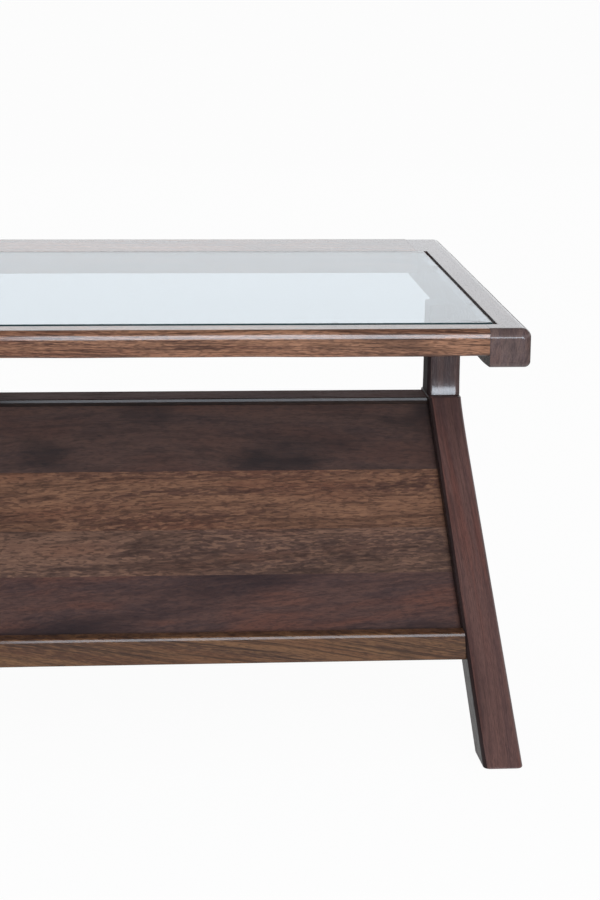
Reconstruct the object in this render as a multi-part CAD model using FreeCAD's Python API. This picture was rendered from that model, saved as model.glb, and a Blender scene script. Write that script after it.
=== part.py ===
import FreeCAD, Part
import math
import os

# Collectors display table: a glass-topped frame on two end posts, each post standing on a front and a
# back leg, with a sloped display panel and its ledge between the legs on both long sides.
# Millimetres. The origin is on the floor under the middle of the top, +X along the length, +Y to the
# back and +Z up.

# Whole table
TABLE_LENGTH = 1104.0
TABLE_DEPTH = 600.0
FRAME_HEIGHT = 479.0

# Rails of the top frame
END_RAIL_WIDTH = 44.5
END_RAIL_HEIGHT = 43.5
FRONT_RAIL_WIDTH = 42.5
BACK_RAIL_WIDTH = 112.0
LONG_RAIL_HEIGHT = 29.0
REBATE_LEDGE = 13.0
RAIL_TOP_ROUND = 6.5
RAIL_BOTTOM_ROUND = 3.0
RAIL_INNER_ROUND = 1.5
END_BOTTOM_ROUND = 6.0
FRAME_CORNER_ROUND = 9.0
END_SWEEP_RISE = 3.0
END_SWEEP_LENGTH = 60.0
END_SWEEP_ROUND = 300.0

# Glass and the clear pads that it lies on
GLASS_THICKNESS = 5.0
GLASS_GAP = 4.5
GLASS_PROUD = 0.8
GLASS_ARRIS = 0.6
GLASS_CORNER_ROUND = 2.0
PAD_THICKNESS = 1.0
PAD_DIAMETER = 7.0
PAD_SPREAD_X = 700.0
PAD_SPREAD_Y = 240.0

# Posts
POST_WIDTH = 38.0
POST_DEPTH = 38.0
POST_INSET = 25.0
POST_FOOT_DEPTH = 60.0
POST_CHEEK_RISE = 13.5
POST_HEIGHT = 87.9

# Legs, as wide as the posts at the joint and wider at the foot
LEG_DEPTH = 45.0
LEG_FOOT_WIDTH = 43.0
LEG_SPLAY_DEGREES = 4.2
FOOT_SETBACK = 0.0
LEG_ARRIS = 6.0
FOOT_ROUND = 2.0

# Ridge rail between the two ends, with a keel that the panels close against
RIDGE_WIDTH = 42.0
RIDGE_DROP = 1.6
RIDGE_LIP_HEIGHT = 8.0
RIDGE_ROUND = 2.0
KEEL_WIDTH = 28.0
KEEL_HEIGHT = 26.0

# Sloped panel of edge-glued staves, whose widths are ripped in proportion to fill the slope
PANEL_RECESS = 14.0
PANEL_THICKNESS = 16.0
STAVE_1_WIDTH = 81.5
STAVE_2_WIDTH = 71.0
STAVE_3_WIDTH = 54.0
STAVE_4_WIDTH = 77.5
PANEL_END_RISE = 1.0

# Ledge along the foot of the panel
LEDGE_BOTTOM = 94.5
LEDGE_HEIGHT = 31.0
LEDGE_THICKNESS = 18.5
LEDGE_LIP = 12.0
LEDGE_TOP_ROUND = 4.0
LEDGE_ROUND = 2.0

# Cleats that carry the panels
CLEAT_WIDTH = 18.0
CLEAT_DEPTH = 12.0
CLEAT_TOP_SETBACK = 45.0
CLEAT_BOTTOM_SETBACK = 20.0

# Dowels
DOWEL_DIAMETER = 8.0
DOWEL_LENGTH = 36.0
DOWEL_ARRIS = 0.8
FRONT_DOWEL_SPREAD = 20.0
BACK_DOWEL_SPREAD = 50.0
POST_DOWEL_SPREAD = 18.0
LEG_DOWEL_SPREAD = 18.0
LEG_DOWEL_INSET = 12.0
RIDGE_DOWEL_SPREAD = 16.0
RIDGE_DOWEL_RISE = 8.0
LEDGE_DOWEL_RISE = 10.0

# Countersunk wood screws
SCREW_DIAMETER = 4.0
SCREW_HEAD_DIAMETER = 8.0
SCREW_HEAD_HEIGHT = 2.4
SCREW_TIP = 4.0
SCREW_SINK = 0.5
DRIVE_LENGTH = 4.4
DRIVE_WIDTH = 1.0
DRIVE_DEPTH = 1.2
LEG_SCREW_LENGTH = 32.0
PANEL_SCREW_LENGTH = 23.0
SCREW_END_DISTANCE = 30.0

# Clearances
GLUE_LINE = 0.1
DOWEL_FIT = 0.1
DOWEL_END_GAP = 1.0
SCREW_FIT = 0.1

# Lines that several pieces share
X_AXIS = FreeCAD.Vector(1, 0, 0)
Y_AXIS = FreeCAD.Vector(0, 1, 0)
Z_AXIS = FreeCAD.Vector(0, 0, 1)
ORIGIN = FreeCAD.Vector(0, 0, 0)
HALF_LENGTH = TABLE_LENGTH / 2
HALF_DEPTH = TABLE_DEPTH / 2
END_RAIL_INNER = HALF_LENGTH - END_RAIL_WIDTH
END_RAIL_BOTTOM = FRAME_HEIGHT - END_RAIL_HEIGHT
LONG_RAIL_BOTTOM = FRAME_HEIGHT - LONG_RAIL_HEIGHT
JOINT_HEIGHT = END_RAIL_BOTTOM - POST_HEIGHT
FRONT_RAIL_INNER = FRONT_RAIL_WIDTH - HALF_DEPTH
BACK_RAIL_INNER = HALF_DEPTH - BACK_RAIL_WIDTH
WELL_X = END_RAIL_INNER + REBATE_LEDGE
WELL_FRONT = FRONT_RAIL_INNER - REBATE_LEDGE
WELL_BACK = BACK_RAIL_INNER + REBATE_LEDGE
GLASS_TOP = FRAME_HEIGHT + GLASS_PROUD
GLASS_BOTTOM = GLASS_TOP - GLASS_THICKNESS
WELL_FLOOR = GLASS_BOTTOM - PAD_THICKNESS

POST_OUTER = HALF_LENGTH - POST_INSET
POST_INNER = POST_OUTER - POST_WIDTH
POST_MIDDLE = (POST_OUTER + POST_INNER) / 2

# The rake of the legs, seen from the end: a point is placed by its distance down the leg's front face
# from the joint and by its depth behind that face.
RAKE_TOP_Y = -POST_FOOT_DEPTH / 2
RAKE_RUN = HALF_DEPTH - FOOT_SETBACK + RAKE_TOP_Y
RAKE_LENGTH = math.hypot(RAKE_RUN, JOINT_HEIGHT)
RAKE_SINE = JOINT_HEIGHT / RAKE_LENGTH
RAKE_COSINE = RAKE_RUN / RAKE_LENGTH
SPLAY = math.radians(LEG_SPLAY_DEGREES)

RIDGE_TOP = JOINT_HEIGHT - RIDGE_DROP
RIDGE_LIP_BOTTOM = RIDGE_TOP - RIDGE_LIP_HEIGHT
KEEL_BOTTOM = RIDGE_LIP_BOTTOM - KEEL_HEIGHT
PANEL_BACK = PANEL_RECESS + PANEL_THICKNESS
LEDGE_TOP = LEDGE_BOTTOM + LEDGE_HEIGHT


def rake_point(along, depth):
    """The (y, z) of a point this far down the leg's front face and this deep behind it."""
    y = RAKE_TOP_Y - along * RAKE_COSINE + depth * RAKE_SINE
    z = JOINT_HEIGHT - along * RAKE_SINE - depth * RAKE_COSINE
    return y, z


def rake_slab(upper, lower, near, far):
    """The end view of a slab between two distances down the rake and two depths."""
    places = ((upper, near), (lower, near), (lower, far), (upper, far))
    return [rake_point(along, depth) + (0,) for along, depth in places]


def rake_y(z, depth):
    """Where the plane this deep behind the leg's front face passes the height z."""
    return RAKE_TOP_Y - (JOINT_HEIGHT - z) * RAKE_RUN / JOINT_HEIGHT + depth / RAKE_SINE


def rake_z(y, depth):
    """The height at which the plane this deep behind the leg's front face passes y."""
    return JOINT_HEIGHT - (RAKE_TOP_Y + depth / RAKE_SINE - y) * JOINT_HEIGHT / RAKE_RUN


def rake_along(z, depth):
    """How far down the rake a point of this depth reaches the height z."""
    return (JOINT_HEIGHT - depth * RAKE_COSINE - z) / RAKE_SINE


def leg_inner(z):
    """The splayed inner face of the right legs at the height z."""
    return POST_INNER + (JOINT_HEIGHT - z) * math.tan(SPLAY)


def to_left(shape):
    return shape.mirror(ORIGIN, X_AXIS)


def to_back(shape):
    return shape.mirror(ORIGIN, Y_AXIS)


def on_plane(along, u, v, level):
    """A point of an outline that is drawn square to the axis named by along."""
    places = {"x": (level, u, v), "y": (u, level, v), "z": (u, v, level)}
    return FreeCAD.Vector(*places[along])


def corner_arc(before, corner, after, radius):
    """The first, middle and last point of the arc that rounds a corner."""
    back = (before - corner).normalize()
    ahead = (after - corner).normalize()
    half_angle = back.getAngle(ahead) / 2
    reach = radius / math.tan(half_angle)
    middle = (back + ahead).normalize() * (radius / math.sin(half_angle) - radius)
    return corner + back * reach, corner + middle, corner + ahead * reach


def prism(along, outline, low, high):
    """A solid with this outline of (u, v, corner radius), from low to high on one axis."""
    corners = [on_plane(along, u, v, low) for u, v, _ in outline]
    edges = []
    stops = []
    for index, (_, _, radius) in enumerate(outline):
        if radius > 0:
            after = corners[(index + 1) % len(corners)]
            first, middle, last = corner_arc(corners[index - 1], corners[index], after, radius)
            edges.append(Part.Arc(first, middle, last).toShape())
            stops.append((first, last))
        else:
            stops.append((corners[index], corners[index]))
    for index, (first, _) in enumerate(stops):
        edges.append(Part.makeLine(stops[index - 1][1], first))
    wire = Part.Wire(Part.sortEdges(edges)[0])
    return Part.Face(wire).extrude(on_plane(along, 0, 0, high - low))


def box(low, high):
    size = [b - a for a, b in zip(low, high)]
    return Part.makeBox(*size, FreeCAD.Vector(*low))


def without(shape, tools):
    for tool in tools:
        shape = shape.cut(tool)
    return shape


def splay_band(inner, outer_at_joint, outer_at_floor):
    """A slab along the right legs' inner face, from one offset to another that may grow towards the floor."""
    outline = []
    for z, offset in ((JOINT_HEIGHT, inner), (JOINT_HEIGHT, outer_at_joint), (0, outer_at_floor), (0, inner)):
        outline.append((leg_inner(z) + offset, z, 0))
    return prism("y", outline, -HALF_DEPTH, HALF_DEPTH)


def between_legs(outline):
    """A full-length piece of this end view, cut to the splayed inner faces of the legs."""
    ends = []
    for z in (JOINT_HEIGHT, 0):
        ends.append((leg_inner(z) - GLUE_LINE, z, 0))
    room = [ends[0], ends[1], (-ends[1][0], 0, 0), (-ends[0][0], JOINT_HEIGHT, 0)]
    blank = prism("x", outline, -HALF_LENGTH, HALF_LENGTH)
    return blank.common(prism("y", room, -HALF_DEPTH, HALF_DEPTH))


def centred_cylinder(middle, axis, diameter, length):
    return Part.makeCylinder(diameter / 2, length, middle - axis * (length / 2), axis)


class Dowels:
    """Dowels on one axis: their solids, and the bores that the joined pieces get."""

    def __init__(self, axis, middles):
        self.solids = []
        self.bores = []
        for middle in middles:
            peg = centred_cylinder(middle, axis, DOWEL_DIAMETER, DOWEL_LENGTH)
            rims = [edge for edge in peg.Edges if edge.isClosed()]
            self.solids.append(peg.makeChamfer(DOWEL_ARRIS, rims))
            bore_length = DOWEL_LENGTH + 2 * DOWEL_END_GAP
            bore_diameter = DOWEL_DIAMETER + 2 * DOWEL_FIT
            self.bores.append(centred_cylinder(middle, axis, bore_diameter, bore_length))


def turned(profile, head, axis):
    """A profile of (radius, distance) turned about an axis that starts at the screw's head."""
    points = [FreeCAD.Vector(radius, 0, distance) for radius, distance in profile + profile[:1]]
    solid = Part.Face(Part.makePolygon(points)).revolve(ORIGIN, Z_AXIS, 360)
    solid.Placement = FreeCAD.Placement(head, FreeCAD.Rotation(Z_AXIS, axis))
    return solid


def wood_screw(head, axis, length):
    head_radius = SCREW_HEAD_DIAMETER / 2
    radius = SCREW_DIAMETER / 2
    profile = [(0, 0), (head_radius, 0), (radius, SCREW_HEAD_HEIGHT)]
    profile += [(radius, length - SCREW_TIP), (0, length)]
    solid = turned(profile, head, axis)
    for reach_x, reach_y in ((DRIVE_LENGTH, DRIVE_WIDTH), (DRIVE_WIDTH, DRIVE_LENGTH)):
        slot = box((-reach_x / 2, -reach_y / 2, -DRIVE_DEPTH), (reach_x / 2, reach_y / 2, DRIVE_DEPTH))
        slot.Placement = solid.Placement
        solid = solid.cut(slot)
    return solid


def screw_bore(head, axis, length):
    head_radius = SCREW_HEAD_DIAMETER / 2 + SCREW_FIT
    radius = SCREW_DIAMETER / 2 + SCREW_FIT
    mouth = -2 * SCREW_SINK
    profile = [(0, mouth), (head_radius, mouth), (head_radius, 0), (radius, SCREW_HEAD_HEIGHT)]
    profile += [(radius, length - SCREW_TIP), (0, length + SCREW_FIT)]
    return turned(profile, head, axis)


def rail_dowels(rail_middle, spread):
    """The dowels in the butt joint at the right end of a long rail."""
    z = (LONG_RAIL_BOTTOM + FRAME_HEIGHT) / 2
    places = [rail_middle - spread / 2, rail_middle + spread / 2]
    return Dowels(X_AXIS, [FreeCAD.Vector(END_RAIL_INNER, y, z) for y in places])


def post_dowels():
    """Upright dowels from the post's shoulder into the end rail."""
    x = (END_RAIL_INNER + POST_OUTER) / 2
    places = [-POST_DOWEL_SPREAD / 2, POST_DOWEL_SPREAD / 2]
    return Dowels(Z_AXIS, [FreeCAD.Vector(x, y, END_RAIL_BOTTOM) for y in places])


def leg_dowels():
    """Upright dowels from the post into the front leg."""
    places = [POST_MIDDLE - LEG_DOWEL_SPREAD / 2, POST_MIDDLE + LEG_DOWEL_SPREAD / 2]
    return Dowels(Z_AXIS, [FreeCAD.Vector(x, -LEG_DOWEL_INSET, JOINT_HEIGHT) for x in places])


def ridge_dowels():
    """One dowel from the ridge rail's keel into the right front leg."""
    z = KEEL_BOTTOM + RIDGE_DOWEL_RISE
    return Dowels(X_AXIS, [FreeCAD.Vector(leg_inner(z), -RIDGE_DOWEL_SPREAD / 2, z)])


def ledge_back():
    """The ledge's back face, where the panel's surface is a lip's height below the ledge's top."""
    return rake_y(LEDGE_TOP - LEDGE_LIP, PANEL_RECESS)


def ledge_dowels():
    """One dowel from the front ledge into the right front leg."""
    z = LEDGE_BOTTOM + LEDGE_DOWEL_RISE
    return Dowels(X_AXIS, [FreeCAD.Vector(leg_inner(z), ledge_back() - LEDGE_THICKNESS / 2, z)])


def panel_reach():
    """How far down the rake the panel's surface begins, under the ridge's lip, and ends, at the ledge."""
    first = rake_along(RIDGE_LIP_BOTTOM - GLUE_LINE, PANEL_RECESS)
    last = rake_along(LEDGE_TOP - LEDGE_LIP, PANEL_RECESS)
    return first, last


def stave_joints():
    """How far down the rake each stave begins, and the last ends: the widths, ripped to fill the slope."""
    first, last = panel_reach()
    widths = [STAVE_1_WIDTH, STAVE_2_WIDTH, STAVE_3_WIDTH, STAVE_4_WIDTH]
    rip = (last - first) / sum(widths)
    joints = [first]
    for width in widths:
        joints.append(joints[-1] + width * rip)
    return joints


def cleat_reach():
    first, last = panel_reach()
    return first + CLEAT_TOP_SETBACK, last - CLEAT_BOTTOM_SETBACK


def cleat_screw_places():
    """Head, axis and length of the right front cleat's screws: two into the leg, two into the panel."""
    into_leg = FreeCAD.Vector(math.cos(SPLAY), 0, math.sin(SPLAY))
    into_panel = FreeCAD.Vector(0, -RAKE_SINE, RAKE_COSINE)
    first, last = cleat_reach()
    middle_depth = PANEL_BACK + GLUE_LINE + CLEAT_DEPTH / 2
    under_depth = PANEL_BACK + GLUE_LINE + CLEAT_DEPTH - SCREW_SINK
    joints = stave_joints()
    places = []
    for along in (first + SCREW_END_DISTANCE, last - SCREW_END_DISTANCE):
        y, z = rake_point(along, middle_depth)
        x = leg_inner(z) - GLUE_LINE - CLEAT_WIDTH + SCREW_SINK
        places.append((FreeCAD.Vector(x, y, z), into_leg, LEG_SCREW_LENGTH))
    for upper, lower in zip(joints[1:3], joints[2:4]):
        y, z = rake_point((upper + lower) / 2, under_depth)
        x = leg_inner(z) - GLUE_LINE - CLEAT_WIDTH / 2
        places.append((FreeCAD.Vector(x, y, z), into_panel, PANEL_SCREW_LENGTH))
    return places


def glass_well():
    """The rebate that all four rails share, open at the top."""
    return box((-WELL_X, WELL_FRONT, WELL_FLOOR), (WELL_X, WELL_BACK, FRAME_HEIGHT + GLASS_THICKNESS))


def long_rail(outer, inner):
    """A front or back rail between the end rails, rounded along its outer edges."""
    outline = [(outer, FRAME_HEIGHT, RAIL_TOP_ROUND), (outer, LONG_RAIL_BOTTOM, RAIL_BOTTOM_ROUND),
               (inner, LONG_RAIL_BOTTOM, RAIL_INNER_ROUND), (inner, FRAME_HEIGHT, 0)]
    end = END_RAIL_INNER - GLUE_LINE
    return prism("x", outline, -end, end).cut(glass_well())


def outer_edges(shape, low, high):
    """The edges between two heights that lie on the right end rail's outer side or ends."""
    edges = []
    for edge in shape.Edges:
        middle = edge.CenterOfMass
        reach = max(middle.x - HALF_LENGTH, abs(middle.y) - HALF_DEPTH)
        if reach > -FRAME_CORNER_ROUND and low <= edge.BoundBox.ZMin and edge.BoundBox.ZMax <= high:
            edges.append(edge)
    return edges


def end_rail():
    """The right end rail, with its underside swept up at both ends and its outer edges rounded."""
    swept = END_RAIL_BOTTOM + END_SWEEP_RISE
    sweep_start = HALF_DEPTH - END_SWEEP_LENGTH
    side = [(-HALF_DEPTH, FRAME_HEIGHT, 0), (-HALF_DEPTH, swept, 0),
            (-sweep_start, END_RAIL_BOTTOM, END_SWEEP_ROUND),
            (sweep_start, END_RAIL_BOTTOM, END_SWEEP_ROUND),
            (HALF_DEPTH, swept, 0), (HALF_DEPTH, FRAME_HEIGHT, 0)]
    rail = prism("x", side, END_RAIL_INNER, HALF_LENGTH)
    outer = [edge for edge in rail.Edges if edge.BoundBox.XMin > END_RAIL_INNER]
    corners = [edge for edge in outer if edge.BoundBox.ZLength > END_SWEEP_RISE + GLUE_LINE]
    rail = rail.makeFillet(FRAME_CORNER_ROUND, corners)
    top = outer_edges(rail, swept + GLUE_LINE, FRAME_HEIGHT + GLUE_LINE)
    rail = rail.makeFillet(RAIL_TOP_ROUND, top)
    underside = outer_edges(rail, END_RAIL_BOTTOM - GLUE_LINE, swept + GLUE_LINE)
    rail = rail.makeFillet(END_BOTTOM_ROUND, underside)
    return rail.cut(glass_well())


def glass_pane():
    half_x = WELL_X - GLASS_GAP
    front = WELL_FRONT + GLASS_GAP
    back = WELL_BACK - GLASS_GAP
    plan = [(-half_x, front), (half_x, front), (half_x, back), (-half_x, back)]
    pane = prism("z", [(x, y, GLASS_CORNER_ROUND) for x, y in plan], GLASS_BOTTOM, GLASS_TOP)
    rims = [edge for edge in pane.Edges if edge.BoundBox.ZLength < GLASS_ARRIS]
    return pane.makeChamfer(GLASS_ARRIS, rims)


def glass_pads():
    """Clear pads on the rebate's ledge, in the middle of the glass's bearing."""
    bearing = (REBATE_LEDGE - GLASS_GAP) / 2
    middle = (FRONT_RAIL_INNER + BACK_RAIL_INNER) / 2
    places = []
    for side in (-1, 1):
        places.append((side * PAD_SPREAD_X / 2, FRONT_RAIL_INNER - bearing))
        places.append((side * PAD_SPREAD_X / 2, BACK_RAIL_INNER + bearing))
        places.append((side * (END_RAIL_INNER + bearing), middle - PAD_SPREAD_Y / 2))
        places.append((side * (END_RAIL_INNER + bearing), middle + PAD_SPREAD_Y / 2))
    pads = []
    for x, y in places:
        pads.append(Part.makeCylinder(PAD_DIAMETER / 2, PAD_THICKNESS, FreeCAD.Vector(x, y, WELL_FLOOR)))
    return pads


def post():
    """The right post: it flares to the legs at its foot, and its inner half rises beside the end rail."""
    top = END_RAIL_BOTTOM + POST_CHEEK_RISE
    foot = JOINT_HEIGHT + GLUE_LINE
    half = POST_DEPTH / 2
    bend = rake_z(-half, 0)
    flare_length = (half + RAKE_TOP_Y) / -RAKE_COSINE
    flare_round = flare_length / math.tan(math.atan2(RAKE_RUN, JOINT_HEIGHT) / 2)
    blank_foot = JOINT_HEIGHT - 2 * LEG_ARRIS
    foot_half = -rake_y(blank_foot, 0)
    outline = [(-half, top, 0), (-half, bend, flare_round), (-foot_half, blank_foot, 0),
               (foot_half, blank_foot, 0), (half, bend, flare_round), (half, top, 0)]
    solid = prism("x", outline, POST_INNER, POST_OUTER)
    arrises = [e for e in solid.Edges if e.BoundBox.XLength < GLUE_LINE and e.BoundBox.ZLength > GLUE_LINE]
    solid = solid.makeFillet(LEG_ARRIS, arrises)
    below = box((POST_INNER, -foot_half, blank_foot), (POST_OUTER, foot_half, foot))
    shoulder = box((END_RAIL_INNER - GLUE_LINE, -half, END_RAIL_BOTTOM - GLUE_LINE), (POST_OUTER, half, top))
    return without(solid, [below, shoulder])


def leg():
    """The right front leg: raked forward, splayed outward, halved against the back leg at its top."""
    middle = -GLUE_LINE / 2
    outline = [(RAKE_TOP_Y, JOINT_HEIGHT, 0), (rake_y(0, 0), 0, 0), (rake_y(0, LEG_DEPTH), 0, 0),
               (middle, rake_z(middle, LEG_DEPTH), 0), (middle, JOINT_HEIGHT, 0)]
    solid = prism("x", outline, 0, TABLE_LENGTH).common(splay_band(0, POST_WIDTH, LEG_FOOT_WIDTH))
    lengthways = FreeCAD.Vector(math.tan(SPLAY), -RAKE_RUN / JOINT_HEIGHT, -1).normalize()
    arrises = []
    for edge in solid.Edges:
        run = (edge.Vertexes[-1].Point - edge.Vertexes[0].Point).normalize()
        if run.cross(lengthways).Length < math.sin(SPLAY) / 2:
            arrises.append(edge)
    solid = solid.makeFillet(LEG_ARRIS, arrises)
    sole = [edge for edge in solid.Edges if edge.BoundBox.ZMax < FOOT_ROUND / 2]
    return solid.makeFillet(FOOT_ROUND, sole)


def ridge_rail():
    half = RIDGE_WIDTH / 2
    keel = KEEL_WIDTH / 2
    right = [(half, RIDGE_TOP, RIDGE_ROUND), (half, RIDGE_LIP_BOTTOM, 0), (keel, RIDGE_LIP_BOTTOM, 0),
             (keel, KEEL_BOTTOM, RIDGE_ROUND)]
    left = [(-y, z, radius) for y, z, radius in reversed(right)]
    return between_legs(right + left)


def front_staves():
    """The front panel, cut into its staves by planes square to its slope."""
    lip = RIDGE_LIP_BOTTOM - GLUE_LINE
    keel = -KEEL_WIDTH / 2 - GLUE_LINE
    end = LEDGE_BOTTOM + PANEL_END_RISE
    ledge = ledge_back() + GLUE_LINE
    panel = between_legs([(rake_y(lip, PANEL_RECESS), lip, 0), (keel, lip, 0),
                          (keel, rake_z(keel, PANEL_BACK), 0), (rake_y(end, PANEL_BACK), end, 0),
                          (ledge, end, 0), (ledge, rake_z(ledge, PANEL_RECESS), 0)])
    stops = stave_joints()
    stops[0] -= LEG_DEPTH
    stops[-1] += LEG_DEPTH
    staves = []
    for upper, lower in zip(stops, stops[1:]):
        slab = rake_slab(upper, lower, 0, LEG_DEPTH)
        staves.append(panel.common(prism("x", slab, -HALF_LENGTH, HALF_LENGTH)))
    return staves


def front_ledge():
    back = ledge_back()
    front = back - LEDGE_THICKNESS
    return between_legs([(front, LEDGE_TOP, LEDGE_TOP_ROUND), (front, LEDGE_BOTTOM, LEDGE_ROUND),
                         (back, LEDGE_BOTTOM, LEDGE_ROUND), (back, LEDGE_TOP, LEDGE_ROUND)])


def cleat():
    """The right front cleat, under the panel and against the leg's inner face."""
    first, last = cleat_reach()
    near = PANEL_BACK + GLUE_LINE
    far = near + CLEAT_DEPTH
    bar = prism("x", rake_slab(first, last, near, far), 0, HALF_LENGTH)
    return bar.common(splay_band(-GLUE_LINE - CLEAT_WIDTH, -GLUE_LINE, -GLUE_LINE))


def both_ends(shapes):
    return shapes + [to_left(shape) for shape in shapes]


def both_sides(shapes):
    return shapes + [to_back(shape) for shape in shapes]


def build():
    """Every piece by name. The right front quarter is made, and mirrored where the table repeats it."""
    front_pegs = rail_dowels((FRONT_RAIL_INNER - HALF_DEPTH) / 2, FRONT_DOWEL_SPREAD)
    back_pegs = rail_dowels((BACK_RAIL_INNER + HALF_DEPTH) / 2, BACK_DOWEL_SPREAD)
    post_pegs = post_dowels()
    leg_pegs = leg_dowels()
    ridge_pegs = ridge_dowels()
    ledge_pegs = ledge_dowels()
    screw_places = cleat_screw_places()
    screws = [wood_screw(*place) for place in screw_places]
    screw_bores = [screw_bore(*place) for place in screw_places]

    pieces = {}
    pieces["front_rail"] = without(long_rail(-HALF_DEPTH, FRONT_RAIL_INNER), both_ends(front_pegs.bores))
    pieces["back_rail"] = without(long_rail(HALF_DEPTH, BACK_RAIL_INNER), both_ends(back_pegs.bores))
    right_rail = without(end_rail(), front_pegs.bores + back_pegs.bores + post_pegs.bores)
    right_post = without(post(), post_pegs.bores + both_sides(leg_pegs.bores))
    for name, shape in (("end_rail", right_rail), ("post", right_post)):
        pieces[name + "_right"] = shape
        pieces[name + "_left"] = to_left(shape)
    pieces["glass_pane"] = glass_pane()
    pieces["glass_pads"] = Part.makeCompound(glass_pads())

    front_leg = without(leg(), leg_pegs.bores + ridge_pegs.bores + ledge_pegs.bores + screw_bores)
    front_cleat = without(cleat(), screw_bores)
    for name, shape in (("leg", front_leg), ("cleat", front_cleat)):
        for side, quarter in (("front", shape), ("back", to_back(shape))):
            pieces[f"{name}_{side}_right"] = quarter
            pieces[f"{name}_{side}_left"] = to_left(quarter)

    pieces["ridge_rail"] = without(ridge_rail(), both_ends(both_sides(ridge_pegs.bores)))
    ledge = without(front_ledge(), both_ends(ledge_pegs.bores))
    pieces["front_ledge"] = ledge
    pieces["back_ledge"] = to_back(ledge)
    for number, stave in enumerate(front_staves(), start=1):
        stave = without(stave, both_ends(screw_bores))
        pieces[f"front_stave_{number}"] = stave
        pieces[f"back_stave_{number}"] = to_back(stave)

    pieces["rail_dowels"] = Part.makeCompound(both_ends(front_pegs.solids + back_pegs.solids))
    pieces["post_dowels"] = Part.makeCompound(both_ends(post_pegs.solids))
    for name, solids in (("leg_dowels", leg_pegs.solids), ("ridge_dowels", ridge_pegs.solids),
                         ("ledge_dowels", ledge_pegs.solids), ("cleat_screws", screws)):
        pieces[name] = Part.makeCompound(both_ends(both_sides(solids)))
    return pieces


os.makedirs("parts", exist_ok=True)
for node, shape in build().items():
    shape.exportStep(f"parts/{node}.step")
    print(node, len(shape.Solids), round(shape.Volume), shape.isValid())
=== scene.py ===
"""Looks of the collectors display table: its wooden pieces and its glass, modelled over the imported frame.

Metres, +X along the table, +Y to its back and +Z up. A wooden piece is a surface on a grid: one parameter
goes round its section, the other from one end of the piece to the other. Its grain runs along the first
axis of a vector attribute, so every board keeps its own figure wherever it points.
"""
import math

import bmesh
import bpy
import numpy as np
from mathutils import Matrix, Vector


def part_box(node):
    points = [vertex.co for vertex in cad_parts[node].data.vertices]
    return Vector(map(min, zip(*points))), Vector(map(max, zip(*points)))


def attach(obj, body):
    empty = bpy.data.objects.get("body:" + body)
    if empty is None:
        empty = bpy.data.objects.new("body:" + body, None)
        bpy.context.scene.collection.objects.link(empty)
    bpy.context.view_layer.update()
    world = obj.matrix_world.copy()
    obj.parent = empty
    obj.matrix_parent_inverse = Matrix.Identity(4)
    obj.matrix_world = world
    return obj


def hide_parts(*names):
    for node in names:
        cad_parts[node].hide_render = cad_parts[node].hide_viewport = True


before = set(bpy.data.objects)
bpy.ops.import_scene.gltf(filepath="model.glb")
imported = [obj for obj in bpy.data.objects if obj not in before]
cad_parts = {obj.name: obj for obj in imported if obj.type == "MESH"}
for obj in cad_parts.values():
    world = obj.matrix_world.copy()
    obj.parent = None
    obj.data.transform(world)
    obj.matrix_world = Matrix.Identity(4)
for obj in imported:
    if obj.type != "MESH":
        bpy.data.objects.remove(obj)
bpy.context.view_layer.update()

# Top frame
RAIL_TOP_ROUND = 0.006
RAIL_LEAN = 0.0011
RAIL_LEAN_HEIGHT = 0.0095
RAIL_LEAN_ROUND = 0.015
RAIL_BOTTOM_ROUND = 0.003
RAIL_INNER_ROUND = 0.0015
RAIL_END_STEPS = (0.0, 0.0002, 0.0004)
END_TOP_ROUND = 0.0095
END_TOP_TAPER = 0.004
END_BOTTOM_ROUND = 0.006
END_BOTTOM_TAPER = 0.003
END_LEAST_ROUND = 0.0015
END_CORNER_ROUND = 0.009
END_SWEEP_RISE = 0.003
END_SWEEP_LENGTH = 0.060
REBATE_LEDGE = 0.013
REBATE_DEPTH = 0.0052
REBATE_ROUND = 0.0006

# Posts and legs
POST_DEPTH = 0.038
POST_FLARE = 0.0020
POST_FLARE_RISE = 0.0245
LEG_DEPTH = 0.045
LEG_ARRIS = 0.006
LEG_CURVE = 0.020
FOOT_ROUND = 0.002
JOINT_EASE = 0.0008
GLUE_LINE = 0.0001

# Ridge, panels and ledges
RIDGE_ROUND = 0.002
RIDGE_LEAN = 0.0005
RIDGE_LEAN_HEIGHT = 0.0038
RIDGE_LIP_HEIGHT = 0.008
KEEL_WIDTH = 0.028
PANEL_RECESS = 0.014
PANEL_THICKNESS = 0.016
PANEL_BACK = PANEL_RECESS + PANEL_THICKNESS
STAVE_COUNT = 4
LEDGE_ROUND = 0.002
LEDGE_LEAN = 0.0008
LEDGE_LEAN_HEIGHT = 0.0042

# Glass
GLASS_ARRIS = 0.0006
GLASS_CORNER_ROUND = 0.002

# Unevenness of hand planing: each wave's share, pace along the piece and phase, then how far it reaches
WAVES = ((0.5, 9.1, 1.0), (0.3, 23.7, 2.1), (0.2, 51.3, 0.7))
EDGE_UNEVEN = 0.0006
FACE_UNEVEN = 0.0003
ROUND_UNEVEN = 0.10
END_ROUND_UNEVEN = 0.08

# How finely the surfaces are divided, and which faces count as level or turned to the side
ARC_STEPS = 9
RUN_SHARES = (0.004, 0.1, 0.35, 0.65, 0.9, 0.996)
STATION_STEP = 0.005
CAP_RINGS = (0.94, 0.6, 0.3)
SHARP_EDGE = 1e-7
FLAT_STEP = 1e-5
SHARP_ANGLE = math.radians(38)
MERGE_DISTANCE = 2e-6
LEVEL = 0.97
SIDE_TURN = 0.35

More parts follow.
